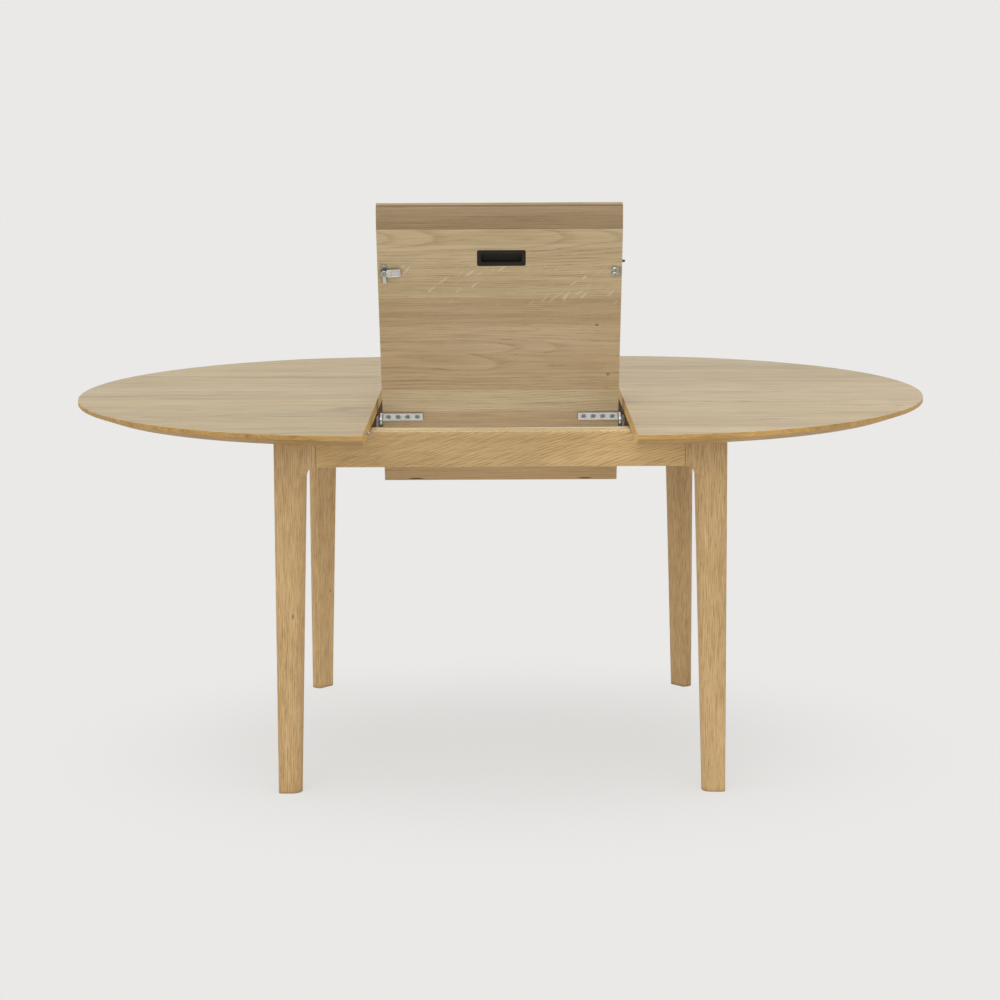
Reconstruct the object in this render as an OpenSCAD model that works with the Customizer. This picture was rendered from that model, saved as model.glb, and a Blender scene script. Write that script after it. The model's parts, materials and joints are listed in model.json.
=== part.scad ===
// Round extending dining table with a folding leaf stored inside its frame.
// Drawn with the two half tops slid apart and the folded leaf swung up between them.
// X is the way the tops slide, -Y is the side the leaf leans to, Z is up, floor at Z = 0.

/* [Top] */
// Radius of the round top
top_r = 645; // [600:5:700]
// Height of the top surface above the floor
table_h = 760; // [740:5:780]
// Thickness of the top and of the leaf
top_t = 25; // [22:1:28]
// Height of the square part of the outer edge
edge_t = 9; // [6:1:12]
// Width of the bevel under the outer edge
bevel_w = 44; // [40:1:60]
// Distance from the centre line to each split edge with the tops apart
open_gap = 259; // [258:1:264]

/* [Leaf] */
// Width of the leaf
leaf_w = 495; // [480:5:502]
// Lean of the raised leaf away from upright
leaf_lean = 24; // [15:1:30]
// Drop of the leaf pivot below the underside of the top
pivot_drop = 15; // [12:1:18]
// Clearance at the fold between the two leaf halves
fold_gap = 0.3; // [0.2:0.1:0.6]

/* [Frame] */
// Distance from the centre to the outer side faces of the legs
leg_x = 450; // [430:5:470]
// Distance from the centre to the front and back faces of the legs
leg_y = 426; // [410:2:440]
// Width of the square block at the head of a leg
leg_head = 83.5; // [78:0.5:90]
// Width of a leg just below its head
leg_top_w = 64; // [58:1:70]
// Width of a leg at the floor
leg_foot_w = 47; // [40:1:55]
// Height of the aprons
apron_h = 70.5; // [68:0.5:76]
// Thickness of the aprons
apron_t = 27; // [22:1:30]

/* [Hardware] */
// Radius of the leaf pivot pins
pin_r = 4; // [3:0.5:5]
// Radius of the alignment pins in the split edges
dowel_r = 2.5; // [2.5:0.5:4]
// Distance of the alignment pins from the middle of the table
dowel_y = 523; // [500:1:540]
// Distance of the leaf latches from the middle of the table
latch_y = 506; // [480:1:510]

/* [Hidden] */

eps = 0.01;
big = 2000;
oak = "burlywood";
oak_dark = "tan";
steel = "silver";
black = "dimgray";
$fn = 64;

// Levels
under_z = table_h - top_t;
frame_z = under_z - 0.5;
apron_z = frame_z - apron_h;
half_leaf = top_r;
leaf_x = leaf_w / 2;

// Leaf pivot and fold line, with the leaf lying flat in the open table
pivot_y = -half_leaf / 4;
pivot_z = under_z - pivot_drop;
fold_z = table_h + fold_gap;
swing_up = 90 - leaf_lean;

// Slides, measured out from the middle of the table
lane_out = 342;
lane_in = lane_out - 15.5;
slide_z0 = 704;
slide_z1 = 731;
rail_z0 = 686;
slide_len = 350;
slide_end = 16;
play = 0.4;

// Bearers and their brackets
bearer_x = 260.5;
bearer_t = 22;
bearer_z0 = apron_z + 2;
bearer_z1 = 728;
bracket_t = 4;
bracket_w = 30;
bracket_z0 = 676;

// Straps on the leaf
strap_w = 17.5;
strap_t = 3;
strap_in = 163;
tab_t = 4;
tab_gap = 0.5;
screw_in = 12;
screw_pitch = 20.2;

// Timber joints of the legs
cove_r = leg_head - leg_top_w;
cove_z = apron_z - cove_r;
seat_cut = 16;
round_r = 8;
side_r = 20;
reveal = 1.5;
apron_ease = 3;
block_t = 24;
block_z0 = apron_z + 1;
block_h = 20;
bolt_r = 4;
bolt_z = block_z0 + block_h / 2;
bolt_len = 74;
fit = 0.05;

// ---------- placing ----------

// Copies to the left or right, and to the front or back, of the table
module side(sx) mirror([sx < 0 ? 1 : 0, 0, 0]) children();
module end(sy) mirror([0, sy < 0 ? 1 : 0, 0]) children();
module corner(sx, sy) side(sx) end(sy) children();

// From the flat leaf to the raised leaf
module raised() {
    translate([0, pivot_y, pivot_z])
        rotate([-swing_up, 0, 0])
            translate([0, -pivot_y, -pivot_z]) children();
}

// From the flat back half of the leaf to the half folded over the front one
module folded() {
    translate([0, 0, fold_z])
        rotate([180, 0, 0])
            translate([0, 0, -fold_z]) children();
}

// A flat outline standing in the YZ plane, run along X from x0 to x1
module run_x(x0, x1) {
    translate([x0, 0, 0]) rotate([90, 0, 90]) linear_extrude(x1 - x0) children();
}

// A rectangle given by its low and high corners
module area(a, b) translate(a) square(b - a);

module block(a, b) translate(a) cube(b - a);

// A round bar along X
module bar_x(x0, x1, y, z, r) {
    translate([x0, y, z]) rotate([0, 90, 0]) cylinder(r = r, h = x1 - x0);
}

// A square plate with rounded corners, lying in XY and centred
module plate(w, d, t, r) {
    linear_extrude(t) {
        square([w - 2 * r, d], center = true);
        square([w, d - 2 * r], center = true);
        for (x = [-1, 1], y = [-1, 1])
            translate([x * (w / 2 - r), y * (d / 2 - r)]) circle(r = r, $fn = 32);
    }
}

// A cross-slotted dome screw head standing on Z = 0
module dome_head(r, h) {
    difference() {
        intersection() {
            cylinder(r = r, h = h, $fn = 32);
            translate([0, 0, h - 1.6 * r]) sphere(r = 1.6 * r, $fn = 48);
        }
        for (a = [45, 135]) rotate([0, 0, a])
            translate([-r / 2, -0.5, h - 0.9]) cube([r, 1, 2]);
    }
}

// A countersunk cross-slotted screw whose head is flush with Z = 0, shank going down
module flush_screw(r, h) {
    difference() {
        union() {
            translate([0, 0, -r / 2]) cylinder(r1 = r / 2, r2 = r, h = r / 2, $fn = 32);
            translate([0, 0, -h]) cylinder(r = r / 2, h = h - r / 2 + eps, $fn = 32);
        }
        for (a = [45, 135]) rotate([0, 0, a])
            translate([-r * 0.6, -0.65, -1]) cube([r * 1.2, 1.3, 2]);
    }
}

// ---------- legs and aprons ----------

// Plan of a leg: outer corner at the origin, inner arris cut back by cut, side arrises of radius r
module leg_plan(w, r, cut) {
    difference() {
        square(w);
        arris(round_r);
        translate([w, 0]) rotate(90) arris(r);
        translate([0, w]) rotate(-90) arris(r);
        translate([w, w]) rotate(45) translate([-cut / sqrt(2), -w]) square(2 * w);
    }
}

// What rounding by r takes off a corner at the origin
module arris(r) {
    difference() {
        translate([-1, -1]) square(r + 1);
        translate([r, r]) circle(r = r, $fn = 48);
    }
}

module leg_slab(z, w, r, cut) translate([0, 0, z - eps]) linear_extrude(eps) leg_plan(w, r, cut);

// Side view of a leg head, with the cove under its inner side
module head_profile() {
    difference() {
        area([0, cove_z], [leg_head, frame_z]);
        translate([leg_head, cove_z]) square([2 * cove_r, 2 * (apron_z - cove_z)], center = true);
    }
    difference() {
        area([leg_head - cove_r - eps, cove_z], [leg_head, apron_z + eps]);
        translate([leg_top_w + cove_r, cove_z]) circle(r = cove_r);
    }
}

// One leg standing in the positive corner, its outer corner at (leg_x, leg_y)
module leg() {
    seat = (2 * leg_head - seat_cut) / sqrt(2);
    color(oak)
    translate([leg_x, leg_y, 0]) rotate([0, 0, 180])
    difference() {
        union() {
            hull() {
                leg_slab(eps, leg_foot_w, side_r, leg_foot_w - side_r);
                leg_slab(cove_z + eps, leg_top_w, side_r, 0.62 * leg_top_w);
            }
            intersection() {
                translate([0, leg_head, 0]) rotate([90, 0, 0])
                    linear_extrude(leg_head) head_profile();
                rotate([90, 0, 90]) linear_extrude(leg_head) head_profile();
                union() {
                    hull() {
                        leg_slab(cove_z + eps, leg_top_w, side_r, 0.62 * leg_top_w);
                        leg_slab(apron_z + 2 * eps, leg_head, 1, seat_cut);
                    }
                    translate([0, 0, apron_z]) linear_extrude(frame_z - apron_z)
                        leg_plan(leg_head, 1, seat_cut);
                }
            }
        }
        rotate([0, 0, 45]) translate([seat - 40, 0, bolt_z]) rotate([0, 90, 0])
            cylinder(r = bolt_r + fit, h = 60);
    }
}

module leg_front_left() corner(-1, -1) leg();
module leg_front_right() corner(1, -1) leg();
module leg_back_left() corner(-1, 1) leg();
module leg_back_right() corner(1, 1) leg();

// Long apron, a small reveal behind the faces of the legs, with its top outer edge eased
module long_apron() {
    span = leg_x - leg_head;
    face = leg_y - reveal;
    color(oak) run_x(-span, span) polygon([
        [face - apron_t, apron_z], [face, apron_z], [face, frame_z - apron_ease],
        [face - apron_ease, frame_z], [face - apron_t, frame_z]
    ]);
}

module apron_front() end(-1) long_apron();
module apron_back() end(1) long_apron();

// Short apron with a slot at each end for the slides to pass through
module short_apron() {
    span = leg_y - leg_head;
    color(oak) difference() {
        block([leg_x - reveal - apron_t, -span, apron_z], [leg_x - reveal, span, frame_z]);
        for (sy = [-1, 1]) end(sy)
            block([0, lane_in - 1.5, slide_z0 - 2], [big, span + 1, big]);
    }
}

module apron_left() side(-1) short_apron();
module apron_right() side(1) short_apron();

// ---------- inner frame ----------

// Bearer running front to back, notched under the slides
module bearer() {
    inner = leg_y - reveal - apron_t;
    color(oak_dark) difference() {
        block([bearer_x, -inner, bearer_z0], [bearer_x + bearer_t, inner, bearer_z1]);
        for (sy = [-1, 1]) end(sy)
            block([0, lane_in - 2, rail_z0], [big, big, big]);
    }
}

module bearer_left() side(-1) bearer();
module bearer_right() side(1) bearer();

// Wooden rail that carries the slide channels
module slide_rail() {
    span = leg_x - leg_head;
    color(oak_dark) block([-span, lane_out, rail_z0], [span, lane_out + 20, slide_z1]);
}

module slide_rail_front() end(-1) slide_rail();
module slide_rail_back() end(1) slide_rail();

// Sum of x and y on the seat between a leg and its corner block
seat_sum = leg_x + leg_y - 2 * leg_head + seat_cut;

module corner_block() {
    ax = leg_x - reveal - apron_t;
    ay = leg_y - reveal - apron_t;
    back = block_t * sqrt(2);
    mid = (leg_x - leg_y) / 2;
    color(oak_dark) difference() {
        translate([0, 0, block_z0]) linear_extrude(block_h)
            polygon([
                [ax, seat_sum - ax], [seat_sum - ay, ay],
                [seat_sum - back - ay, ay], [ax, seat_sum - back - ax]
            ]);
        translate([seat_sum / 2 + mid, seat_sum / 2 - mid, bolt_z])
            rotate([0, 90, 45]) translate([0, 0, -60]) cylinder(r = bolt_r + fit, h = 80);
    }
}

module corner_block_front_left() corner(-1, -1) corner_block();
module corner_block_front_right() corner(1, -1) corner_block();
module corner_block_back_left() corner(-1, 1) corner_block();
module corner_block_back_right() corner(1, 1) corner_block();

// Hanger bolt, washer and nut that pull a leg onto its corner block
module leg_bolt() {
    mid = (leg_x - leg_y) / 2;
    translate([seat_sum / 2 + mid, seat_sum / 2 - mid, bolt_z]) rotate([0, 90, 45]) {
        translate([0, 0, 36 - bolt_len]) cylinder(r = bolt_r, h = bolt_len);
        translate([0, 0, -block_t - 2]) difference() {
            cylinder(r = 9, h = 2);
            translate([0, 0, -1]) cylinder(r = bolt_r - eps, h = 4);
        }
        translate([0, 0, -block_t - 9]) difference() {
            cylinder(r = 7.5, h = 7, $fn = 6);
            translate([0, 0, -1]) cylinder(r = bolt_r - eps, h = 9);
        }
    }
}

module leg_bolts() color(steel) for (sx = [-1, 1], sy = [-1, 1]) corner(sx, sy) leg_bolt();

// ---------- slides ----------

// Fixed outer channel on the rail
module channel() {
    color(steel) run_x(slide_end - 4, leg_x - leg_head) {
        area([lane_out - 3, slide_z0], [lane_out, slide_z1]);
        area([lane_out - 7.5, slide_z0], [lane_out - 3 + eps, slide_z0 + 3]);
        area([lane_out - 7.5, slide_z1 - 3], [lane_out - 3 + eps, slide_z1]);
    }
}

module channel_front_left() corner(-1, -1) channel();
module channel_front_right() corner(1, -1) channel();
module channel_back_left() corner(-1, 1) channel();
module channel_back_right() corner(1, 1) channel();

runner_z0 = slide_z0 + 3 + play;
runner_z1 = slide_z1 - 3 - play;

// Sliding middle member, half way out when the tops are apart
module runner() {
    x0 = slide_end + open_gap / 2;
    color(steel) run_x(x0, x0 + slide_len) {
        area([lane_out - 7, runner_z0], [lane_out - 3 - play, runner_z1]);
        area([lane_out - 11.5, runner_z0], [lane_out - 7 + eps, runner_z0 + 3]);
        area([lane_out - 11.5, runner_z1 - 3], [lane_out - 7 + eps, runner_z1]);
    }
}

module runner_front_left() corner(-1, -1) runner();
module runner_front_right() corner(1, -1) runner();
module runner_back_left() corner(-1, 1) runner();
module runner_back_right() corner(1, 1) runner();

// Steel arm screwed under the top, its tongue held in the runner
module arm() {
    x0 = slide_end + open_gap;
    z0 = runner_z0 + 3 + play;
    z1 = runner_z1 - 3 - play;
    color(steel) run_x(x0, x0 + slide_len) {
        area([lane_out - 11.5 - play, z0], [lane_out - 7 - play, z1]);
        area([lane_in, z0], [lane_out - 11.5 - play + eps, under_z]);
        area([lane_in, under_z - 3], [lane_out - 0.5, under_z]);
    }
}

module arm_front_left() corner(-1, -1) arm();
module arm_front_right() corner(1, -1) arm();
module arm_back_left() corner(-1, 1) arm();
module arm_back_right() corner(1, 1) arm();

// ---------- leaf supports on the frame ----------

screw_z = [686, 704];

// Plate on a bearer that carries the leaf pivot pin
module pivot_bracket() {
    color(steel) difference() {
        block([bearer_x - bracket_t, pivot_y - bracket_w / 2, bracket_z0],
              [bearer_x, pivot_y + bracket_w / 2, bearer_z1]);
        bar_x(0, big, pivot_y, pivot_z, pin_r + fit);
    }
}

module pivot_bracket_left() side(-1) pivot_bracket();
module pivot_bracket_right() side(1) pivot_bracket();

// Shouldered pins on which the whole leaf swings
module pivot_pins() {
    tab_x = leaf_x + tab_gap;
    color(steel) for (sx = [-1, 1]) side(sx) {
        bar_x(tab_x - 1.6, bearer_x - 0.5, pivot_y, pivot_z, pin_r);
        bar_x(tab_x - 1.6, tab_x - 0.2, pivot_y, pivot_z, pin_r + 1.5);
        bar_x(tab_x + tab_t + 0.2, bearer_x - bracket_t - 0.2, pivot_y, pivot_z, pin_r + 2);
    }
}

// The stored leaf lies on these angle brackets
rest_y = 270;
rest_w = 40;
rest_z = pivot_z - pivot_drop - 2 * top_t - 2 * fold_gap - play;

module leaf_rest() {
    color(steel) {
        block([bearer_x - 3, rest_y - rest_w / 2, rest_z - 3],
              [bearer_x, rest_y + rest_w / 2, 700]);
        block([bearer_x - 42, rest_y - rest_w / 2, rest_z - 3],
              [bearer_x - 3 + eps, rest_y + rest_w / 2, rest_z]);
    }
}

module leaf_rest_left() side(-1) leaf_rest();
module leaf_rest_right() side(1) leaf_rest();

// Screws that hold the pivot brackets and the leaf rests to the bearers
module frame_screws() {
    color(steel) for (sx = [-1, 1]) side(sx) {
        for (z = screw_z)
            translate([bearer_x - bracket_t, pivot_y, z]) rotate([0, -90, 0]) dome_head(4.5, 2);
        for (dy = [-10, 10])
            translate([bearer_x - 3, rest_y + dy, 688]) rotate([0, -90, 0]) dome_head(5, 3);
    }
}

// ---------- tops ----------

// Half of the round top with its split edge on X = 0
module half_top() {
    intersection() {
        translate([0, 0, under_z]) rotate_extrude($fn = 180) polygon([
            [0, 0], [top_r - bevel_w, 0], [top_r, top_t - edge_t], [top_r, top_t], [0, top_t]
        ]);
        translate([0, -big / 2, 0]) cube([big, big, big]);
    }
}

dowel_z = under_z + top_t / 2;
dowel_out = 8;
dowel_in = 22;

module top_left() {
    color(oak) difference() {
        side(-1) translate([open_gap, 0, 0]) half_top();
        for (sy = [-1, 1])
            bar_x(-open_gap - dowel_in, 0, sy * dowel_y, dowel_z, dowel_r);
    }
}

module top_right() {
    color(oak) difference() {
        translate([open_gap, 0, 0]) half_top();
        for (sy = [-1, 1])
            bar_x(0, open_gap + dowel_out + 4, sy * dowel_y, dowel_z, dowel_r + play);
    }
}

// Round-nosed alignment pin along X, its root at x0 and its nose at x1
module dowel(x0, x1, y) {
    bar_x(x0, x1 - 1.5, y, dowel_z, dowel_r);
    translate([x1 - 1.5, y, dowel_z]) rotate([0, 90, 0])
        cylinder(r1 = dowel_r, r2 = dowel_r - 1, h = 1.5);
}

module top_left_pins() {
    color(steel) for (sy = [-1, 1])
        dowel(-open_gap - dowel_in, -open_gap + dowel_out - 0.5, sy * dowel_y);
}

// ---------- latches ----------

latch_in = 13.5;
post_r = 3;
lever_z = 6.4;
lever_t = 3;
lever_l = 33.5;
lever_w = 17;
lever_tilt = 4;
hook_l = 21.5;
hook_w = 7;
keeper_in = 3;

// Latch plate under a panel whose edge is the plane X = 0, the panel lying towards +X.
// The outline is drawn with the underside at Z = 0 and the plate below it.
module latch_plate() {
    translate([latch_in, 0, -2]) difference() {
        plate(12, 34, 2, 4);
        for (sy = [-1, 1]) translate([0, sy * 12.5, -1]) cylinder(r = 2.2, h = 4, $fn = 32);
    }
    for (sy = [-1, 1]) translate([latch_in, sy * 12.5, -2]) rotate([180, 0, 0])
        dome_head(3.8, 1.6);
    translate([latch_in, 0, 0.2 - lever_z]) cylinder(r = 6, h = lever_z - 2.2 + eps);
    translate([latch_in, 0, -lever_z - lever_t - 0.2])
        cylinder(r = post_r, h = lever_z + lever_t - 2);
    translate([latch_in, 0, -lever_z - lever_t - 1.4]) cylinder(r = post_r + 1.8, h = 1.2 + eps);
}

// Swinging lever: a dished handle and, square to it, a hook with a turned-in tip
module latch_lever() {
    translate([latch_in, 0, -lever_z - lever_t]) rotate([0, 0, -lever_tilt]) difference() {
        union() {
            linear_extrude(lever_t) {
                circle(r = 7);
                area([0, -5], [10, 5]);
                translate([(5 + lever_l) / 2, 0]) offset(r = 2.5)
                    square([lever_l - 10, lever_w - 5], center = true);
                area([-hook_w / 2, 0], [hook_w / 2, hook_l]);
            }
            translate([-hook_w / 2, hook_l - 2.4, lever_t - eps])
                cube([hook_w, 2.4, 3.4 + eps]);
        }
        translate([(12 + lever_l) / 2, 0, -1]) linear_extrude(2) offset(r = 1.5)
            square([lever_l - 19, lever_w - 8], center = true);
        translate([0, 0, -1]) cylinder(r = post_r + fit, h = 8);
    }
}

// Keeper plate with two dome screws and a lip near the panel edge X = 0
module keeper() {
    translate([keeper_in + 8, 0, -1.5]) plate(16, 17, 1.5, 3);
    for (sy = [-1, 1]) translate([keeper_in + 12, sy * 5.3, -1.5]) rotate([180, 0, 0])
        dome_head(5.2, 3);
    translate([keeper_in, -8.5, -6]) cube([1.6, 17, 4.5 + eps]);
}

// Onto the underside of a flat panel, at the edge sx * x and at sy * latch_y
module under_edge(sx, sy, x) {
    side(sx) translate([x, sy * latch_y, under_z]) end(-sy) children();
}

module facing_in() mirror([1, 0, 0]) children();

module top_left_keepers() {
    color(steel) for (sy = [-1, 1]) under_edge(-1, sy, open_gap) keeper();
}

module top_right_latch_plates() {
    color(steel) for (sy = [-1, 1]) under_edge(1, sy, open_gap) latch_plate();
}

module latch_lever_right_front() color(steel) under_edge(1, -1, open_gap) latch_lever();
module latch_lever_right_back() color(steel) under_edge(1, 1, open_gap) latch_lever();

// ---------- leaf ----------

pull_y = -537;
pull_x = 3.5;
pull_w = 98;
pull_d = 36;
pull_depth = 13;
cup_w = 44;
cup_in = 13;
cup_h = 17;
cup_x = 180;
cup_z = under_z + 2;

// Pockets for the hinge cups in the fold edge
module cup_pockets(grow) {
    for (sx = [-1, 1])
        translate([sx * cup_x - cup_w / 2 - grow, -cup_in - fold_gap - grow, cup_z - grow])
            cube([cup_w + 2 * grow, cup_in + (grow > 0 ? 5 : 0), cup_h + 2 * grow]);
}

// The front half of the leaf, lying flat with its fold edge on Y = 0
module half_panel() {
    difference() {
        run_x(-leaf_x, leaf_x) polygon([
            [-fold_gap, under_z], [-half_leaf + bevel_w, under_z],
            [-half_leaf, under_z + top_t - edge_t], [-half_leaf, table_h], [-fold_gap, table_h]
        ]);
        cup_pockets(fit);
        // socket for the pin of the left top
        bar_x(-leaf_x - 1, -leaf_x + dowel_out + 3, -dowel_y, dowel_z, dowel_r + play);
    }
}

module leaf_front() {
    color(oak) raised() difference() {
        half_panel();
        translate([pull_x, pull_y, under_z - 1]) plate(pull_w + 2 * fit, pull_d + 2 * fit,
            1 + 1.5 + fit, 4);
        translate([pull_x, pull_y, under_z]) plate(pull_w - 12, pull_d - 12, pull_depth + fit, 4);
        bar_x(leaf_x - dowel_in, leaf_x + 1, -dowel_y, dowel_z, dowel_r);
    }
}

module leaf_back() color(oak) raised() folded() end(-1) half_panel();

// Recessed finger pull let into the underside of the front half
module leaf_pull() {
    color("black") raised() translate([pull_x, pull_y, under_z]) difference() {
        union() {
            plate(pull_w, pull_d, 1.5, 4);
            plate(pull_w - 12 - 2 * fit, pull_d - 12 - 2 * fit, pull_depth, 4);
        }
        translate([0, 0, -1]) plate(pull_w - 16, pull_d - 16, pull_depth - 0.5, 3);
    }
}

// Strap bracket: a screwed plate under the leaf and a tab with the pivot bore
module strap() {
    color(steel) difference() {
        union() {
            block([strap_in, pivot_y - strap_w / 2, under_z - strap_t],
                  [leaf_x, pivot_y + strap_w / 2, under_z]);
            block([leaf_x - 5, pivot_y - strap_w / 2, under_z - strap_t - 0.5],
                  [leaf_x + tab_gap + tab_t, pivot_y + strap_w / 2, under_z - 0.5]);
            block([leaf_x + tab_gap, pivot_y - strap_w / 2, pivot_z],
                  [leaf_x + tab_gap + tab_t, pivot_y + strap_w / 2, under_z - 0.5]);
            bar_x(leaf_x + tab_gap, leaf_x + tab_gap + tab_t, pivot_y, pivot_z, strap_w / 2);
        }
        bar_x(0, big, pivot_y, pivot_z, pin_r + fit);
        for (i = [0 : 3])
            translate([leaf_x - screw_in - i * screw_pitch, pivot_y, under_z - strap_t])
                screw_hole();
    }
}

// Countersunk hole for a strap screw, from the face at 0 upwards
module screw_hole() {
    translate([0, 0, -eps]) cylinder(r1 = 5.6, r2 = 2.6, h = 2.85, $fn = 32);
    cylinder(r = 2.6, h = 2 * strap_t, $fn = 32);
}

module strap_left() raised() side(-1) strap();
module strap_right() raised() side(1) strap();

module strap_screws() {
    color(steel) raised() for (sx = [-1, 1], i = [0 : 3]) side(sx)
        translate([leaf_x - screw_in - i * screw_pitch, pivot_y, under_z - strap_t + 0.3])
            mirror([0, 0, 1]) flush_screw(4.9, strap_t - 0.3);
}

module leaf_front_pin() {
    color(black) raised() dowel(leaf_x - dowel_in, leaf_x + dowel_out - 1.5, -dowel_y);
}

// Bodies of the concealed fold hinges, flush with the fold edge
module hinge_cups() {
    difference() {
        cup_pockets(0);
        for (sx = [-1, 1], i = [-1, 1])
            translate([sx * cup_x + i * 9 - 4, -cup_in + 4, cup_z + 3])
                cube([8, cup_in, cup_h - 6]);
    }
}

module leaf_front_hinge_cups() color(steel) raised() hinge_cups();
module leaf_back_hinge_cups() color(steel) raised() folded() end(-1) hinge_cups();

module leaf_front_latch_plate() {
    color(steel) raised() under_edge(-1, -1, leaf_x) facing_in() latch_plate();
}

module leaf_front_keeper() color(steel) raised() under_edge(1, -1, leaf_x) facing_in() keeper();

module latch_lever_leaf_front() {
    color(steel) raised() under_edge(-1, -1, leaf_x) facing_in() latch_lever();
}

module leaf_back_latch_plate() {
    color(steel) raised() folded() under_edge(-1, 1, leaf_x) facing_in() latch_plate();
}

module leaf_back_keeper() {
    color(steel) raised() folded() under_edge(1, 1, leaf_x) facing_in() keeper();
}

module latch_lever_leaf_back() {
    color(steel) raised() folded() under_edge(-1, 1, leaf_x) facing_in() latch_lever();
}

// ---------- assembly ----------

leg_front_left();
leg_front_right();
leg_back_left();
leg_back_right();
apron_front();
apron_back();
apron_left();
apron_right();
bearer_left();
bearer_right();
slide_rail_front();
slide_rail_back();
corner_block_front_left();
corner_block_front_right();
corner_block_back_left();
corner_block_back_right();
leg_bolts();
channel_front_left();
channel_front_right();
channel_back_left();
channel_back_right();
runner_front_left();
runner_front_right();
runner_back_left();
runner_back_right();
arm_front_left();
arm_front_right();
arm_back_left();
arm_back_right();
pivot_bracket_left();
pivot_bracket_right();
pivot_pins();
leaf_rest_left();
leaf_rest_right();
frame_screws();
top_left();
top_right();
top_left_pins();
top_left_keepers();
top_right_latch_plates();
latch_lever_right_front();
latch_lever_right_back();
leaf_front();
strap_left();
strap_right();
strap_screws();
leaf_pull();
leaf_front_pin();
leaf_front_hinge_cups();
leaf_front_latch_plate();
leaf_front_keeper();
latch_lever_leaf_front();
leaf_back();
leaf_back_hinge_cups();
leaf_back_latch_plate();
leaf_back_keeper();
latch_lever_leaf_back();
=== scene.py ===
import json
import math
import random
from collections import namedtuple

import bpy
from mathutils import Matrix, Vector


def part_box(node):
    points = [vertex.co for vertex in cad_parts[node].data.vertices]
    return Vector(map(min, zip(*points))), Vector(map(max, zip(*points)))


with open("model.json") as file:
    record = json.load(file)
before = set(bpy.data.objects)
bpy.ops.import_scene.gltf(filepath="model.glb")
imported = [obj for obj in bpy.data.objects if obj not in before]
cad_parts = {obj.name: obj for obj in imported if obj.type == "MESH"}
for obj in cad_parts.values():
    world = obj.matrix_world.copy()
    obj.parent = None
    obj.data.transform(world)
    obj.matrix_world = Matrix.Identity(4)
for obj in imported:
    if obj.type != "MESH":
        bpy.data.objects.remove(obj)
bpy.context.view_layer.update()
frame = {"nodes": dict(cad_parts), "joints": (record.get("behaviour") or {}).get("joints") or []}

NODES = frame["nodes"]
JOINTS = {joint["name"]: joint for joint in frame["joints"]}

# ---------- camera, colour view and world ----------

SENSOR_MM = 36.0
FOCAL = 2.2277  # focal length in picture widths
LENS_SHIFT = -0.160
CAMERA_PLACE = (0.0054, -4.7866, 1.3902)
HEADING, DOWNWARD, ROLL = 0.069, 6.195, -0.265  # degrees
BACKDROP = (0.823, 0.815, 0.799)


def turn(degrees, axis):
    return Matrix.Rotation(math.radians(degrees), 4, axis)


def place_camera():
    """The camera that was solved from the photo."""
    data = bpy.data.cameras.new("camera")
    data.sensor_width, data.lens = SENSOR_MM, FOCAL * SENSOR_MM
    data.shift_y = LENS_SHIFT
    data.clip_start, data.clip_end = 0.1, 200.0
    camera = bpy.data.objects.new("camera", data)
    bpy.context.scene.collection.objects.link(camera)
    camera.matrix_world = (
        Matrix.Translation(CAMERA_PLACE) @ turn(HEADING, "Z") @ turn(90.0 - DOWNWARD, "X") @ turn(ROLL, "Z")
    )
    bpy.context.scene.camera = camera


def light_world():
    """An even surround of the backdrop's colour, shown without a film look."""
    world = bpy.data.worlds.new("studio")
    bpy.context.scene.world = world
    world.use_nodes = True
    background = world.node_tree.nodes["Background"]
    background.inputs["Color"].default_value = (*BACKDROP, 1.0)
    background.inputs["Strength"].default_value = 1.0
    bpy.context.scene.view_settings.view_transform = "Standard"
    bpy.context.scene.view_settings.look = "None"


# ---------- shader nodes ----------


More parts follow.
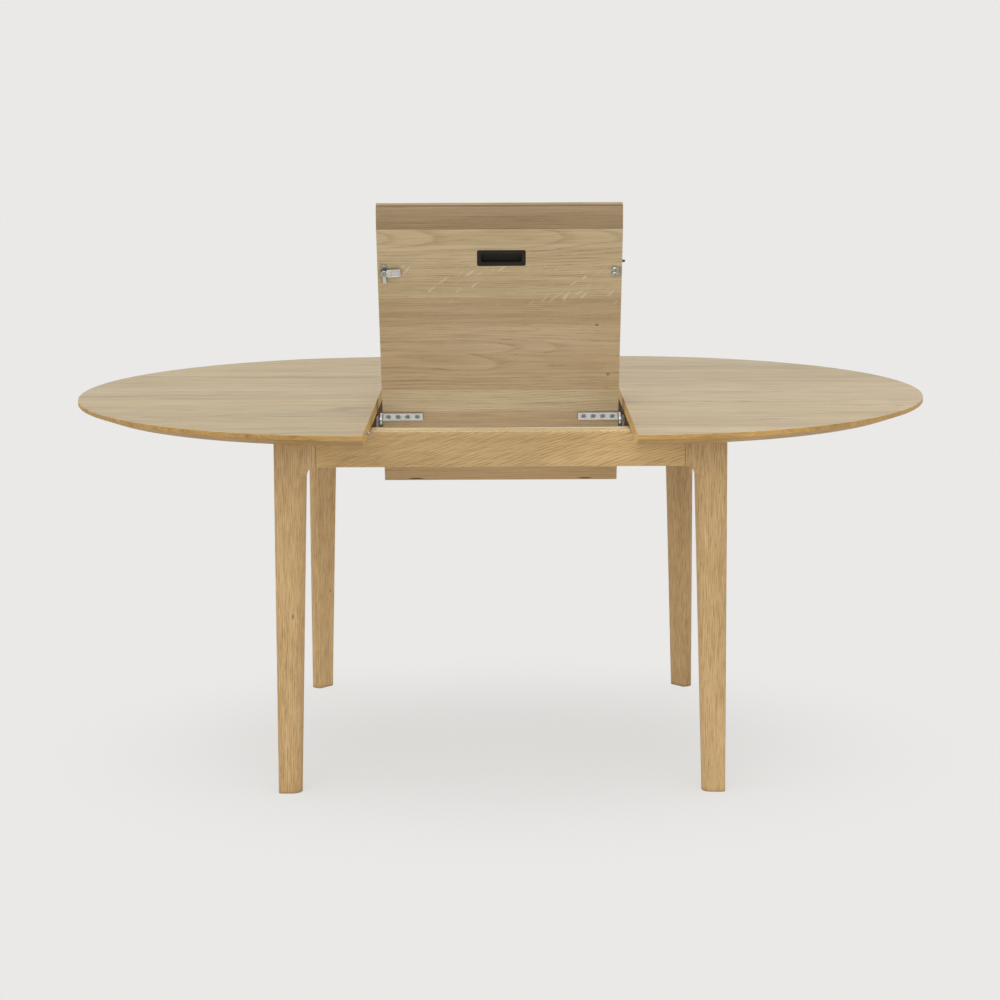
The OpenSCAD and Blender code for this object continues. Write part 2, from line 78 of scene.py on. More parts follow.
class Graph:
    """Short calls for building a shader out of nodes. A socket or a plain value does for every input."""

    def __init__(self, name):
        self.material = bpy.data.materials.new(name)
        self.material.use_nodes = True
        self.tree = self.material.node_tree
        self.tree.nodes.clear()

    def node(self, kind, **settings):
        n = self.tree.nodes.new("ShaderNode" + kind)
        for key, value in settings.items():
            setattr(n, key, value)
        return n

    def put(self, socket, value):
        if isinstance(value, bpy.types.NodeSocket):
            self.tree.links.new(value, socket)
        else:
            socket.default_value = value

    def fill(self, n, *values):
        """Sets the inputs of a node in their order and gives its first output."""
        for socket, value in zip(n.inputs, values):
            self.put(socket, value)
        return n.outputs[0]

    def math(self, operation, a, b=0.0):
        return self.fill(self.node("Math", operation=operation), a, b)

    def plus(self, a, b):
        return self.math("ADD", a, b)

    def minus(self, a, b):
        return self.math("SUBTRACT", a, b)

    def times(self, a, b):
        return self.math("MULTIPLY", a, b)

    def vector(self, operation, a, b=(0, 0, 0)):
        n = self.node("VectorMath", operation=operation)
        self.fill(n, a, b)
        return n.outputs["Value" if operation in ("LENGTH", "DOT_PRODUCT") else "Vector"]

    def join(self, x, y, z):
        return self.fill(self.node("CombineXYZ"), x, y, z)

    def split(self, value):
        n = self.node("SeparateXYZ")
        self.fill(n, value)
        return n.outputs[0], n.outputs[1], n.outputs[2]

    def noise(self, vector, scale=1.0, detail=2.0, roughness=0.5, distortion=0.0, colour=False):
        n = self.node("TexNoise")
        for key, value in (
            ("Vector", vector), ("Scale", scale), ("Detail", detail),
            ("Roughness", roughness), ("Distortion", distortion),
        ):
            self.put(n.inputs[key], value)
        return n.outputs["Color" if colour else 0]

    def ramp(self, factor, stops, interpolation="LINEAR"):
        """stops are (position, grey or colour, with or without alpha). Gives the colour and the alpha."""
        n = self.node("ValToRGB")
        n.color_ramp.interpolation = interpolation
        elements = n.color_ramp.elements
        while len(elements) < len(stops):
            elements.new(0.5)
        for element, (position, colour) in zip(elements, stops):
            element.position = position
            if not isinstance(colour, (tuple, list)):
                colour = (colour, colour, colour)
            element.color = (*colour[:3], colour[3] if len(colour) > 3 else 1.0)
        self.put(n.inputs[0], factor)
        return n.outputs["Color"], n.outputs["Alpha"]

    def step(self, value, low, high, out_low=0.0, out_high=1.0):
        """Goes smoothly from out_low to out_high while value goes from low to high."""
        n = self.node("MapRange", interpolation_type="SMOOTHSTEP")
        return self.fill(n, value, low, high, out_low, out_high)

    def mix(self, factor, a, b, blend="MIX"):
        n = self.node("Mix", data_type="RGBA", blend_type=blend)
        self.put(n.inputs["Factor"], factor)
        self.put(n.inputs[6], a)
        self.put(n.inputs[7], b)
        return n.outputs[2]

    def tinted(self, colour, tint):
        return self.mix(1.0, colour, tint, "MULTIPLY")

    def own_place(self):
        return self.node("TexCoord").outputs["Object"]

    def facing(self, direction):
        """The cosine between a face's own normal and a direction."""
        return self.vector("DOT_PRODUCT", self.node("TexCoord").outputs["Normal"], direction)

    def crevice(self, reach):
        """One in corners and round fittings, nought on open faces. It masks painted shade."""
        n = self.node("AmbientOcclusion", samples=4)
        n.inputs["Distance"].default_value = reach
        return self.step(n.outputs["AO"], 0.35, 0.92, 1.0, 0.0)

    def sharp_edges(self, radius, flat=0.985):
        """One on sharp edges, nought where the surface is flat for radius all round."""
        rounded = self.node("Bevel", samples=3)
        rounded.inputs["Radius"].default_value = radius
        normal = self.node("NewGeometry").outputs["Normal"]
        return self.step(self.vector("DOT_PRODUCT", normal, rounded.outputs[0]), 0.80, flat, 1.0, 0.0)

    def output(self, shader):
        self.put(self.node("OutputMaterial").inputs["Surface"], shader)
        return self.material

    def finish(self, colour, roughness, height, depth, **constants):
        """An opaque surface whose bumps are height times depth, in metres."""
        shader = self.node("BsdfPrincipled")
        self.put(shader.inputs["Base Color"], colour)
        self.put(shader.inputs["Roughness"], roughness)
        for key, value in constants.items():
            shader.inputs[key.replace("_", " ")].default_value = value
        bump = self.node("Bump")
        bump.inputs["Strength"].default_value = 1.0
        bump.inputs["Distance"].default_value = depth
        self.put(bump.inputs["Height"], height)
        self.put(shader.inputs["Normal"], bump.outputs[0])
        return self.output(shader.outputs[0])


# ---------- suns and floor ----------

FLOOR_HALF = 60.0
SUN_SHARE = 0.86  # share of the suns that is counted when the floor is matched to the backdrop
SHADED = 0.50  # share of lamp-lit floor in the middle of the shadow; the rest there is self-lit
COOL = (0.975, 1.0, 1.035)  # tint of the lamp-lit floor that the camera sees
BOUNCE = 0.95  # brightness of the floor for all other rays
SHADOW_SHIFT = (0.0, 0.13, 0.0)
SHADOW_SQUEEZE = (0.78, 1.0, 1.0)
SHADOW_INNER, SHADOW_OUTER = 0.15, 0.88


def sun(name, azimuth, elevation, strength, angle, colour):
    """A soft sun. Azimuth 0 shines from the camera's side and 90 from the right. Gives what it adds
    to the brightness of a white floor."""
    data = bpy.data.lights.new(name, "SUN")
    data.energy, data.angle, data.color = strength, math.radians(angle), colour
    lamp = bpy.data.objects.new(name, data)
    a, e = math.radians(azimuth), math.radians(elevation)
    towards = Vector((math.sin(a) * math.cos(e), -math.cos(a) * math.cos(e), math.sin(e)))
    lamp.rotation_euler = towards.to_track_quat("Z", "Y").to_euler()
    bpy.context.scene.collection.objects.link(lamp)
    return [strength * math.sin(e) / math.pi * c for c in colour]


def floor_material(suns):
    """A pale floor of the backdrop's own colour. It is self-lit away from the table, so that the
    shadow stays close under it, and it throws less light upwards than the camera sees."""
    g = Graph("floor")
    lit = [BACKDROP[i] + SUN_SHARE * sum(s[i] for s in suns) for i in range(3)]

    def matt(tint):
        return g.fill(g.node("BsdfDiffuse"), (*[tint[i] * BACKDROP[i] / lit[i] for i in range(3)], 1))

    squeeze = g.node("Mapping")
    g.put(squeeze.inputs["Vector"], g.own_place())
    g.put(squeeze.inputs["Location"], SHADOW_SHIFT)
    g.put(squeeze.inputs["Scale"], SHADOW_SQUEEZE)
    far = g.vector("LENGTH", squeeze.outputs[0])
    fade = g.step(far, SHADOW_INNER, SHADOW_OUTER, 1.0 - SHADED, 1.0)
    glow = g.fill(g.node("Emission"), (*BACKDROP, 1))
    shown = g.fill(g.node("MixShader"), fade, matt(COOL), glow)
    seen = g.node("LightPath").outputs["Is Camera Ray"]
    return g.output(g.fill(g.node("MixShader"), seen, matt((BOUNCE, BOUNCE, BOUNCE)), shown))


# ---------- oak ----------

ALONG_X = (0.0, 0.0, 0.0)
ALONG_Y = (0.0, 0.0, math.radians(-90))
ALONG_Z = (0.0, math.radians(90), 0.0)
ON_EDGE_X = (math.radians(90), 0.0, 0.0)
ON_EDGE_Y = (0.0, math.radians(90), math.radians(-90))
OAK = ((0.300, 0.185, 0.080), (0.475, 0.315, 0.143), (0.600, 0.415, 0.200), (0.700, 0.510, 0.275))
PALE_OAK = ((0.330, 0.225, 0.115), (0.480, 0.340, 0.185), (0.565, 0.410, 0.235), (0.640, 0.480, 0.290))
PALETTE_STOPS = (0.05, 0.36, 0.62, 0.95)
YEAR = [(0.0, 0.15), (0.10, 0.05), (0.34, 0.72), (0.62, 0.95), (0.93, 1.0), (1.0, 0.2)]
PORE = (0.20, 0.120, 0.052, 1)
RAY = (0.66, 0.56, 0.38, 1)
KNOT = (0.085, 0.050, 0.026, 1)
# paler edge colour: partly wear, partly painted highlight
WEAR_AND_HIGHLIGHT = (0.74, 0.56, 0.33, 1)
# painted shade, laid into corners and crevices
CREVICE_SHADE = (0.075, 0.045, 0.022, 1)
RAY_FADE = 0.012
LAST_STAVE = 0.2  # room for the last stave, wider than any

# start and centre are places across the board, and draws are three random shares
Stave = namedtuple("Stave", "start centre tint draws")
# place and size are in the board's own directions: along it, across it and into it
Knot = namedtuple("Knot", "place size strength")


class Board:
    """Places in a board: u along it, v across it and w into it. across is v from the middle of its
    stave, and along is u from a place in the tree that every stave has for itself."""

    def __init__(self, g, centre, turned, seed, staves, tint, pith):
        self.g = g
        mapping = g.node("Mapping", vector_type="POINT")
        g.put(mapping.inputs["Vector"], g.vector("SUBTRACT", g.own_place(), tuple(centre)))
        mapping.inputs["Rotation"].default_value = turned
        self.u, self.v, self.w = g.split(mapping.outputs[0])
        if staves:
            draw = self.read_staves(staves)
        else:
            draw, self.tints, self.across, self.pith = 0.37, (*tint, 1.0), self.v, pith
        self.along = g.plus(g.times(draw, 5.0), g.plus(self.u, seed * 2.37))

    def read_staves(self, staves):
        """Finds the stave at v. Sets its tint, its middle and its pith line, and gives its first draw."""
        g, start = self.g, staves[0].start
        span = staves[-1].start + LAST_STAVE - start
        share = g.math("DIVIDE", g.minus(self.v, start), span)
        stops = [(s.start - start) / span for s in staves]
        facts = [(*s.draws, (s.centre - start) / span) for s in staves]
        draws, centre = g.ramp(share, list(zip(stops, facts)), "CONSTANT")
        self.tints, _ = g.ramp(share, list(zip(stops, [s.tint for s in staves])), "CONSTANT")
        first, second, third = g.split(draws)
        self.across = g.minus(self.v, g.plus(g.times(centre, span), start))
        self.pith = (g.times(g.minus(second, 0.5), 0.34), g.times(g.plus(third, 0.35), -0.09))
        return first

    def grain(self, across, lengthwise, sideways, detail, roughness=0.5, distortion=0.0, colour=False):
        """Noise with lengthwise features a metre along the board and sideways features a metre across it."""
        g = self.g
        place = g.join(g.times(self.along, lengthwise), g.times(across, sideways), g.times(self.w, sideways))
        return g.noise(place, 1.0, detail, roughness, distortion, colour)

    def rings(self, seed, ring, slope, rise, warp):
        """Rings that are warped cylinders round the pith line. Gives the share of the year from 0 to
        1, the late wood in it, and a random value for each ring."""
        g, (pith_v, pith_w) = self.g, self.pith
        drift = self.grain(self.v, 1.6, 4.0, 2.0, colour=True)
        _, bend_v, bend_w = g.split(g.vector("SUBTRACT", drift, (0.5, 0.5, 0.5)))
        dv = g.minus(g.plus(self.across, g.times(bend_v, 0.035 * warp)), pith_v)
        if rise:
            dv = g.plus(dv, g.times(self.u, rise))
        dw = g.minus(g.plus(self.w, g.times(bend_w, 0.045 * warp)), g.minus(pith_w, g.times(self.u, slope)))
        radius = g.math("SQRT", g.plus(g.times(dv, dv), g.times(dw, dw)))
        wobble = self.grain(self.v, 6.0, 30.0, 2.0)
        count = g.plus(g.math("DIVIDE", radius, ring), g.times(wobble, 0.9 * warp))
        year = g.math("FRACT", count)
        late, _ = g.ramp(year, YEAR)
        return year, late, g.noise(g.join(g.math("FLOOR", count), seed * 3.1, 0.0), 0.77, 0.0)

    def painted_shade_stretch(self, colour, shade_stretch):
        """The colour, darker round one place along the board: painted shade."""
        g, (place, reach, strength) = self.g, shade_stretch
        off = g.math("ABSOLUTE", g.minus(self.u, place))
        shade = g.minus(1.0, g.step(off, 0.3 * reach, reach, strength, 0.0))
        return g.tinted(colour, g.join(shade, shade, shade))

    def silver_rays(self, colour, low, high, seed):
        """The colour with slanting pale flecks between two places across the board."""
        g, u, v = self.g, self.u, self.v
        inside = g.times(g.step(v, low, low + RAY_FADE), g.step(v, high - RAY_FADE, high, 1.0, 0.0))
        slant = g.plus(g.times(u, 0.72), g.times(v, 0.69))
        cross = g.minus(g.times(u, 0.69), g.times(v, 0.72))
        fleck = g.noise(g.join(g.times(slant, 26.0), g.times(cross, 150.0), self.w), 1.0, 1.5, 0.5, 0.5)
        patch = g.noise(g.join(g.times(u, 9.0), g.times(v, 14.0), seed), 1.0, 1.0)
        fleck = g.times(g.step(fleck, 0.60, 0.68), g.step(patch, 0.42, 0.56))
        return g.mix(g.times(g.times(fleck, inside), 0.60), colour, RAY)

    def knot_mark(self, knot, fibre):
        """How dark a knot, or a knot-shaped mark of painted shade, is: its strength in the middle, and nought
        past its frayed rim.
        """
        g = self.g
        offset = g.vector("SUBTRACT", g.join(self.u, self.v, self.w), knot.place)
        offset = g.vector("MULTIPLY", offset, tuple(1 / s for s in knot.size))
        near = g.plus(g.vector("LENGTH", offset), g.times(g.minus(fibre, 0.5), 0.9))
        return g.times(g.step(near, 0.45, 1.15, 1.0, 0.0), knot.strength)


def oak(name, centre, turned, seed, palette=OAK, staves=None, pith=(0.02, -0.05), ring=0.0042, slope=0.03,
        rise=0.0, streaks=1.0, rings=1.0, veins=1.0, roughness=0.5, knots=(), rays=None, tint=(1, 1, 1),
        edges=None, show=None, two_faces=False, warp=1.0, crevice_shade=0.65, fine=(9.0, 230.0), gloss=0.5,
        shade_stretch=None, ends=None, back=None):
    """Lacquered oak. Every face of a board is cut through the same wood.

    centre and turned place the board, ring is the mean width of a year in metres, and slope and rise
    are how the pith line runs across the board. fine is how many veins a metre holds, along the
    grain and across it. The darker stretch gives place, reach and strength of painted shade along
    the board. edges tints every face but the one that looks along show, and with two_faces the
    opposite one too; the aprons' paler faces are partly pale wood and partly painted light. ends is
    a direction and the tint of the faces that look that way; on the tops it brightens the split
    faces as painted light. back is used in place of the staves' tints on the face that looks away
    from show."""
    g = Graph(name)
    board = Board(g, centre, turned, seed, staves, tint, pith)
    year, late, ring_tone = board.rings(seed, ring, slope, rise, warp)
    u, v, across, tints = board.u, board.v, board.across, board.tints
    streak = board.grain(across, 2.2, 75.0, 4.0, 0.62, 0.3)
    cloud = board.grain(v, 2.5, 9.0, 3.0, 0.55)
    fibre = board.grain(v, 16.0, 620.0, 3.0, 0.6)
    sheared = g.plus(across, g.times(u, rise)) if rise else across
    vein = board.grain(sheared, *fine, 2.5, 0.65, 0.3)
    pore = g.step(board.grain(v, 42.0, 1500.0, 1.0), 0.60, 0.70)
    pore = g.times(pore, g.step(year, 0.0, 0.42, 1.0, 0.12))

    tone = 0.56
    for value, usual, gain in (
        (late, 0.70, 0.34 * rings), (streak, 0.5, 1.05 * streaks), (cloud, 0.5, 0.55),
        (fibre, 0.5, 0.42), (ring_tone, 0.5, 0.30 * rings), (vein, 0.5, 0.95 * veins),
    ):
        tone = g.plus(g.times(g.minus(value, usual), gain), tone)
    colour, _ = g.ramp(tone, list(zip(PALETTE_STOPS, palette)))

    if back:
        tints = g.mix(g.step(g.facing(show), -0.9, -0.6, 1.0, 0.0), tints, (*back, 1))
    colour = g.tinted(colour, tints)
    if shade_stretch:
        colour = board.painted_shade_stretch(colour, shade_stretch)
    if edges:
        level = g.facing(show)
        if two_faces:
            level = g.math("ABSOLUTE", level)
        colour = g.mix(g.step(level, 0.60, 0.68, 1.0, 0.0), colour, g.tinted(colour, (*edges, 1)))
    # on the tops this brightens the split faces: painted light in place of light from the sides
    if ends:
        towards, end_painted_light = ends
        colour = g.mix(g.step(g.facing(towards), 0.90, 0.97), colour, g.tinted(colour, (*end_painted_light, 1)))

    colour = g.mix(g.times(pore, 0.55), colour, PORE)
    if rays:
        colour = board.silver_rays(colour, *rays, seed)
    dent = pore
    # the knots are real knots and, on the leaf, marks of painted shade at the hinge notches
    for knot in knots:
        mark = board.knot_mark(knot, fibre)
        colour = g.mix(mark, colour, KNOT)
        dent = g.math("MAXIMUM", dent, mark)
    # paler sharp edges: partly wear, partly painted highlight
    wear_and_highlight = g.times(g.sharp_edges(0.0022, 0.99), g.step(cloud, 0.30, 0.65))
    colour = g.mix(g.times(wear_and_highlight, 0.28), colour, WEAR_AND_HIGHLIGHT)
    # painted shade: darker in corners and crevices, where the occlusion mask finds them
    colour = g.mix(g.times(g.crevice(0.009), crevice_shade), colour, CREVICE_SHADE)

    rough = g.plus(g.times(g.minus(fibre, 0.5), 0.16), roughness)
    rough = g.minus(g.plus(rough, g.times(pore, 0.18)), g.times(wear_and_highlight, 0.07))
    height = g.minus(g.plus(g.times(late, 0.30), g.times(fibre, 0.28)), g.times(dent, 1.0))
    return g.finish(colour, rough, height, 0.00022, IOR=1.46, Specular_IOR_Level=gloss)


# ---------- metal and plastic ----------

# painted shade for metal crevices and round fittings
METAL_CREVICE_SHADE = (0.022, 0.020, 0.017, 1)


def metal(name, colour, roughness, stretch=(60, 60, 900), spots=0.5):
    """Plated or rolled metal: brushed lines, cloudy gloss, small stains, brighter edges that are partly wear
    and partly painted highlight, and painted shade in crevices.
    """
    g = Graph(name)
    place = g.own_place()
    brushed = g.noise(g.vector("MULTIPLY", place, stretch), 1.0, 3.0, 0.6)
    cloud = g.noise(place, 45.0, 3.0, 0.6)
    stain = g.step(g.noise(place, 160.0, 3.0, 0.65), 0.56, 0.70)
    dark = tuple(c * 0.62 for c in colour)
    bright = tuple(min(1.0, c * 1.12) for c in colour)
    tone = g.plus(g.times(brushed, 0.6), g.times(cloud, 0.4))
    shade, _ = g.ramp(tone, [(0.25, dark), (0.50, colour), (0.75, bright)])
    shade = g.mix(g.times(stain, 0.35 * spots), shade, (*[c * 0.45 for c in colour], 1))
    # brighter sharp edges: partly wear, partly painted highlight
    wear_and_highlight = g.sharp_edges(0.0008)
    shade = g.mix(g.times(wear_and_highlight, 0.5), shade, (*bright, 1))
    # painted shade: darker in crevices and round fittings
    shade = g.mix(g.times(g.crevice(0.005), 0.92), shade, METAL_CREVICE_SHADE)
    rough = g.plus(g.times(g.minus(cloud, 0.5), 0.30), roughness)
    rough = g.minus(g.plus(rough, g.times(stain, 0.15 * spots)), g.times(wear_and_highlight, 0.10))
    height = g.plus(g.times(brushed, 0.6), g.times(stain, -0.3))
    return g.finish(shade, rough, height, 0.00006, Metallic=1.0)


def plastic(name, colour, roughness):
    """Moulded plastic with a fine spark-eroded grain and paler edges, partly smoothed by hands and partly
    painted highlight.
    """
    g = Graph(name)
    place = g.own_place()
    pits = g.noise(place, 1800.0, 2.0, 0.6)
    cloud = g.noise(place, 60.0, 3.0, 0.6)
    dark, bright, polish_and_highlight = (tuple(c * gain for c in colour) for gain in (0.72, 1.5, 2.6))
    tone = g.plus(g.times(pits, 0.35), g.times(cloud, 0.65))
    shade, _ = g.ramp(tone, [(0.30, dark), (0.52, colour), (0.78, bright)])
    # paler sharp edges: partly wear, partly painted highlight
    wear_and_highlight = g.sharp_edges(0.0010)
    shade = g.mix(g.times(wear_and_highlight, 0.45), shade, (*polish_and_highlight, 1))
    rough = g.plus(g.times(g.minus(cloud, 0.5), 0.2), roughness)
    return g.finish(shade, g.minus(rough, g.times(wear_and_highlight, 0.12)), pits, 0.00008, IOR=1.38)


# ---------- shading of the CAD nodes ----------

CREASE = math.radians(38)
FLAT_WITHIN = math.radians(0.4)
WELD = 2e-6


def clean_group(name, angle):
    """Joins the split corners of an imported mesh, then marks edges sharper than angle."""
    group = bpy.data.node_groups.new(name, "GeometryNodeTree")
    group.interface.new_socket("Geometry", in_out="INPUT", socket_type="NodeSocketGeometry")
    group.interface.new_socket("Geometry", in_out="OUTPUT", socket_type="NodeSocketGeometry")
    make, link = group.nodes.new, group.links.new
    start, end = make("NodeGroupInput"), make("NodeGroupOutput")
    strip = make("GeometryNodeRemoveAttribute")
    strip.inputs["Name"].default_value = "custom_normal"
    weld = make("GeometryNodeMergeByDistance")
    weld.inputs["Distance"].default_value = WELD
    faces = make("GeometryNodeSetShadeSmooth")
    edges = make("GeometryNodeSetShadeSmooth")
    edges.domain = "EDGE"
    edges.inputs["Shade Smooth"].default_value = False
    corner = make("GeometryNodeInputMeshEdgeAngle")
    compare = make("FunctionNodeCompare")
    compare.operation = "GREATER_THAN"
    compare.inputs["B"].default_value = angle
    link(corner.outputs["Unsigned Angle"], compare.inputs["A"])
    link(start.outputs[0], strip.inputs[0])
    link(strip.outputs[0], weld.inputs["Geometry"])
    link(weld.outputs[0], faces.inputs["Geometry"])
    link(faces.outputs[0], edges.inputs["Geometry"])
    link(compare.outputs[0], edges.inputs["Selection"])
    link(edges.outputs[0], end.inputs[0])
    return group


CLEAN = clean_group("clean", CREASE)


def soften(obj, width):
    """Welded, with flat faces merged and shaded flat, and arrises eased by width."""
    clean = obj.modifiers.new("clean", "NODES")
    clean.node_group = CLEAN
    flat = obj.modifiers.new("flat", "DECIMATE")
    flat.decimate_type = "DISSOLVE"
    flat.angle_limit = FLAT_WITHIN
    if width:
        ease = obj.modifiers.new("ease", "BEVEL")
        ease.width, ease.segments = width, 2
        ease.limit_method, ease.angle_limit = "ANGLE", CREASE
        ease.use_clamp_overlap = False
        ease.miter_outer = "MITER_ARC"
    even = obj.modifiers.new("even", "WEIGHTED_NORMAL")
    even.keep_sharp = True


def paint(node, material, width):
    obj = NODES[node]
    obj.data.materials.clear()
    obj.data.materials.append(material)
    for polygon in obj.data.polygons:
        polygon.material_index = 0
    soften(obj, width)


def middle(node):
    lo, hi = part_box(node)
    return (lo + hi) / 2


# ---------- staves ----------

NARROWEST, WIDEST = 0.055, 0.105


def three(draw):
    return (draw.random(), draw.random(), draw.random())


def drawn_staves(seed, start, end, spread, tint):
    """Staves of uneven width across a board, each with its own tint and its own place in the tree."""
    draw = random.Random(seed)
    staves, at = [], start
    while at < end:
        width = draw.uniform(NARROWEST, WIDEST)
        tone = 1.0 + draw.uniform(-spread, spread)
        warm = draw.uniform(-spread, spread) * 0.45
        shade = (tone * (1 + warm * 0.3), tone, tone * (1 - warm))
        staves.append(Stave(at, at + width / 2, tuple(a * b for a, b in zip(shade, tint)), three(draw)))
        at += width
    return staves


def given_staves(seed, bands, end):
    """Staves that start where the bands say, in the bands' tints."""
    draw = random.Random(seed)
    ends = [start for start, _ in bands[1:]] + [end]
    return [Stave(start, (start + stop) / 2, tint, three(draw)) for (start, tint), stop in zip(bands, ends)]


def dimmed(staves, start, share):
    """The same staves, with those that begin past start at that share of their brightness."""
    return [s._replace(tint=tuple(c * share for c in s.tint)) if s.start > start else s for s in staves]


# ---------- tops and leaf ----------

TOP_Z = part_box("top_left")[1].z
TOP_EDGES = (0.83, 0.63, 0.33)
# the split faces' tint is painted light: it makes them brighter in place of light from the sides
SPLIT_FACE_PAINTED_LIGHT = (1.42, 1.50, 1.65)
LEFT_KNOTS = [Knot((-0.300, -0.262, 0.0), (0.052, 0.022, 0.03), 0.28),
              Knot((-0.335, -0.290, 0.0), (0.040, 0.012, 0.03), 0.22)]
RIGHT_KNOTS = [Knot((0.752, -0.600, -0.012), (0.010, 0.02, 0.004), 0.8)]

LEAN = 90.0 - JOINTS["leaf_lay_down"]["range_deg"][1]
OUTWARD = (0.0, -math.cos(math.radians(LEAN)), -math.sin(math.radians(LEAN)))
UNDER_FOLD = 0.0253  # from the fold's hinge line, just over the upper face, to the underside
FOLD = tuple(at + UNDER_FOLD * out for at, out in zip(JOINTS["leaf_unfold"]["pos_m"], OUTWARD))
ALONG_LEAF = (math.radians(-90.0 - LEAN), 0.0, 0.0)
LEAF_TOP = (0.94, 1.03, 1.10)
LEAF_END = 0.66
LEAF_BANDS = (
    (-0.010, (0.90, 0.83, 0.71)), (0.134, (0.90, 0.88, 0.86)), (0.173, (1.05, 1.14, 1.20)),
    (0.225, (0.92, 0.93, 0.93)), (0.312, (0.92, 0.96, 1.00)), (0.381, (0.81, 0.81, 0.81)),
    (0.443, (0.91, 0.97, 1.00)), (0.599, (0.575, 0.55, 0.52)), (0.628, (0.60, 0.58, 0.56)),
)
LEAF_KNOTS = [Knot((x, s, 0.0), (0.004, 0.003, 0.02), 0.7) for x, s in ((0.199, 0.381), (0.224, 0.262))]
# dark marks at the hinge notches by the fold edge: painted shade
HINGE_NOTCH_SHADE = [Knot((x, 0.0045, 0.0), (0.019, 0.0020, 0.0020), 0.95) for x in (-0.180, 0.180)]


def paint_tops():
    """Staves run along X and are laid across Y. The right top's rear staves are darker."""
    left = drawn_staves(11, -0.660, 0.655, 0.055, (0.965, 1.06, 1.16))
    right = dimmed(drawn_staves(23, -0.660, 0.655, 0.055, (1.08, 1.19, 1.34)), 0.10, 0.84)
    for side, seed, staves, knots, inward in (
        ("left", 11, left, LEFT_KNOTS, 1), ("right", 23, right, RIGHT_KNOTS, -1),
    ):
        wood = oak(f"top_oak_{side}", (0, 0, TOP_Z), ALONG_X, seed, PALE_OAK, staves, ring=0.0032,
                   slope=0.012, rings=0.60, streaks=1.2, veins=1.5, roughness=0.48, gloss=0.2,
                   knots=knots, edges=TOP_EDGES, show=(0, 0, 1), ends=((inward, 0, 0), SPLIT_FACE_PAINTED_LIGHT))
        paint(f"top_{side}", wood, 0.0005)


def paint_leaf():
    """Staves run along X and are laid from the fold edge up. The front half's underside shows at rest."""
    front = oak("leaf_oak_front", FOLD, ALONG_LEAF, 9, PALE_OAK, given_staves(12, LEAF_BANDS, LEAF_END),
                ring=0.0040, slope=0.02, rings=0.7, streaks=0.8, roughness=0.55, rays=(0.425, 0.525),
                knots=LEAF_KNOTS + HINGE_NOTCH_SHADE, edges=(0.66, 0.60, 0.50), show=OUTWARD, two_faces=True,
                back=LEAF_TOP)
    back = oak("leaf_oak_back", FOLD, ALONG_LEAF, 8, PALE_OAK,
               drawn_staves(8, -0.010, 0.650, 0.05, LEAF_TOP), ring=0.0034, slope=0.02, rings=0.6,
               streaks=1.1, veins=1.4, roughness=0.45, edges=(0.84, 0.76, 0.62), show=OUTWARD,
               two_faces=True)
    paint("leaf_front", front, 0.0005)
    paint("leaf_back", back, 0.0005)


# ---------- frame ----------

LEGS = (
    ("leg_front_left", (0.035, -0.10), (0.90, 0.855, 0.79),
     [Knot((-0.0045, -0.042, 0.0074), (0.0065, 0.05, 0.0030), 0.55)]),
    ("leg_front_right", (-0.045, -0.09), (0.92, 0.885, 0.83), []),
    ("leg_back_left", (0.05, -0.12), (1.04, 1.01, 0.97),
     [Knot((-0.135, -0.011, -0.0032), (0.0055, 0.05, 0.0026), 0.55)]),
    ("leg_back_right", (-0.03, -0.11), (0.87, 0.83, 0.78), []),
)
# the last column is a darker stretch of painted shade on the front apron: place, reach and strength
APRONS = (
    ("apron_front", ON_EDGE_X, (0, -1, 0), [Knot((0.327, 0.001, 0.0), (0.004, 0.02, 0.003), 0.7)],
     (-0.07, 0.36, 0.24)),
    ("apron_back", ON_EDGE_X, (0, 1, 0), [], None),
    ("apron_left", ON_EDGE_Y, (-1, 0, 0), [], None),
    ("apron_right", ON_EDGE_Y, (1, 0, 0), [], None),
)
INNER_CENTRE = (0, 0, 0.69)


def paint_legs():
    """Upright boards, the grain along Z."""
    for seed, (node, pith, tint, knots) in enumerate(LEGS, 31):
        wood = oak("oak_" + node, middle(node), ALONG_Z, seed, pith=pith, ring=0.0040, slope=0.012,
                   rings=0.55, streaks=0.45, veins=1.75, roughness=0.50, warp=1.9, tint=tint,
                   fine=(30.0, 560.0), knots=knots)
        paint(node, wood, 0.0)


def paint_aprons():
    """Boards on edge with a rising grain. Their outer and inner faces keep the tint, the others are paler,
    partly pale wood and partly painted light. The front one has a darker stretch of painted shade.
    """
    for seed, (node, turned, outer, knots, shade_stretch) in enumerate(APRONS, 41):
        wood = oak("oak_" + node, middle(node), turned, seed, pith=(0.30, -0.06), ring=0.0050,
                   slope=0.02, rise=0.30, rings=0.60, streaks=0.4, veins=1.6, roughness=0.54, warp=1.7,
                   tint=(1.07, 1.05, 0.99), edges=(1.55, 1.80, 2.20), show=outer, two_faces=True,
                   fine=(20.0, 520.0), gloss=0.35, knots=knots, shade_stretch=shade_stretch)
        paint(node, wood, 0.0008)


def inner_oak(name, turned, seed, rings, roughness, tint, gloss):
    """Plain wood for what is hidden inside the frame."""
    return oak(name, INNER_CENTRE, turned, seed, pith=(0.1, -0.08), ring=0.0045, slope=0.02,
               rings=rings, roughness=roughness, tint=tint, gloss=gloss)


# ---------- everything else ----------

SCREW_NODES = ("strap_screws", "frame_screws", "pivot_pins", "top_left_pins")
PAINTED_APART = ("top_left", "top_right", "leaf_front", "leaf_back")


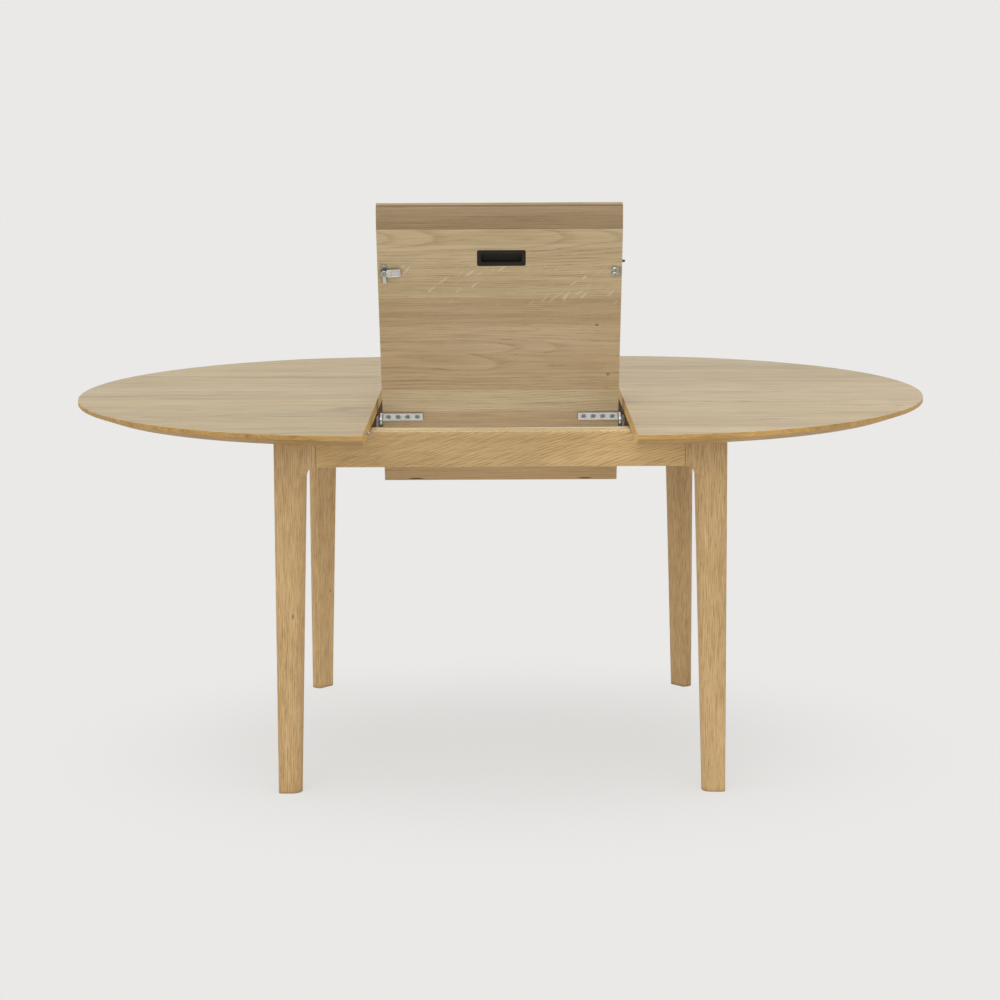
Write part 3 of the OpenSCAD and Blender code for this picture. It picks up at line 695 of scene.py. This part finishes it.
def paint_fittings():
    """The nodes that have no board of their own, by the slot of their imported material."""
    inner = inner_oak("inner_wood", ALONG_Y, 61, 0.8, 0.62, (0.80, 0.76, 0.70), 0.2)
    bearer = inner_oak("bearer_wood", ALONG_Y, 71, 0.8, 0.70, (0.17, 0.125, 0.09), 0.05)
    rail = inner_oak("inner_wood_x", ALONG_X, 67, 0.6, 0.62, (1.45, 1.72, 2.20), 0.3)
    zinc = metal("zinc_steel", (0.76, 0.78, 0.77), 0.30)
    screws = metal("screw_steel", (0.42, 0.43, 0.42), 0.34, (400, 400, 400))
    chrome = metal("polished_steel", (0.66, 0.67, 0.67), 0.16, (500, 500, 500), 0.3)
    slide = metal("slide_steel", (0.52, 0.54, 0.56), 0.38, (900, 60, 900), 0.7)
    dark = metal("dark_metal", (0.10, 0.098, 0.094), 0.42, (300, 300, 300), 0.4)
    black = plastic("black_plastic", (0.013, 0.010, 0.005), 0.55)
    by_slot = {"zinc_steel": (zinc, 0.00025), "slide_steel": (slide, 0.00025), "dark_metal": (dark, 0.0002),
               "black_plastic": (black, 0.0004), "inner_wood": (inner, 0.0006)}
    for node in sorted(NODES):
        if node in PAINTED_APART or node.startswith(("leg_front", "leg_back", "apron")):
            continue
        slot = NODES[node].data.materials[0].name.split(".")[0]
        material, width = by_slot[slot]
        if node.startswith("slide_rail"):
            material = rail
        elif node.startswith("bearer"):
            material = bearer
        elif node in SCREW_NODES or "latch_plate" in node:
            material = screws
        elif node.endswith(("keeper", "keepers")):
            material = chrome
        paint(node, material, width)


# ---------- the scene ----------

place_camera()
light_world()
SUNS = [
    sun("key", 2, 46, 0.40, 55, (1.0, 0.985, 0.96)),
    sun("fill", -50, 34, 0.26, 60, (0.97, 0.985, 1.0)),
    sun("front", -4, 8, 0.43, 45, (1.0, 0.99, 0.97)),
]
floor_mesh = bpy.data.meshes.new("floor")
corners = [(x * FLOOR_HALF, y * FLOOR_HALF, 0) for x, y in ((-1, -1), (1, -1), (1, 1), (-1, 1))]
floor_mesh.from_pydata(corners, [], [(0, 1, 2, 3)])
floor = bpy.data.objects.new("floor", floor_mesh)
floor.data.materials.append(floor_material(SUNS))
bpy.context.scene.collection.objects.link(floor)
paint_tops()
paint_leaf()
paint_legs()
paint_aprons()
paint_fittings()
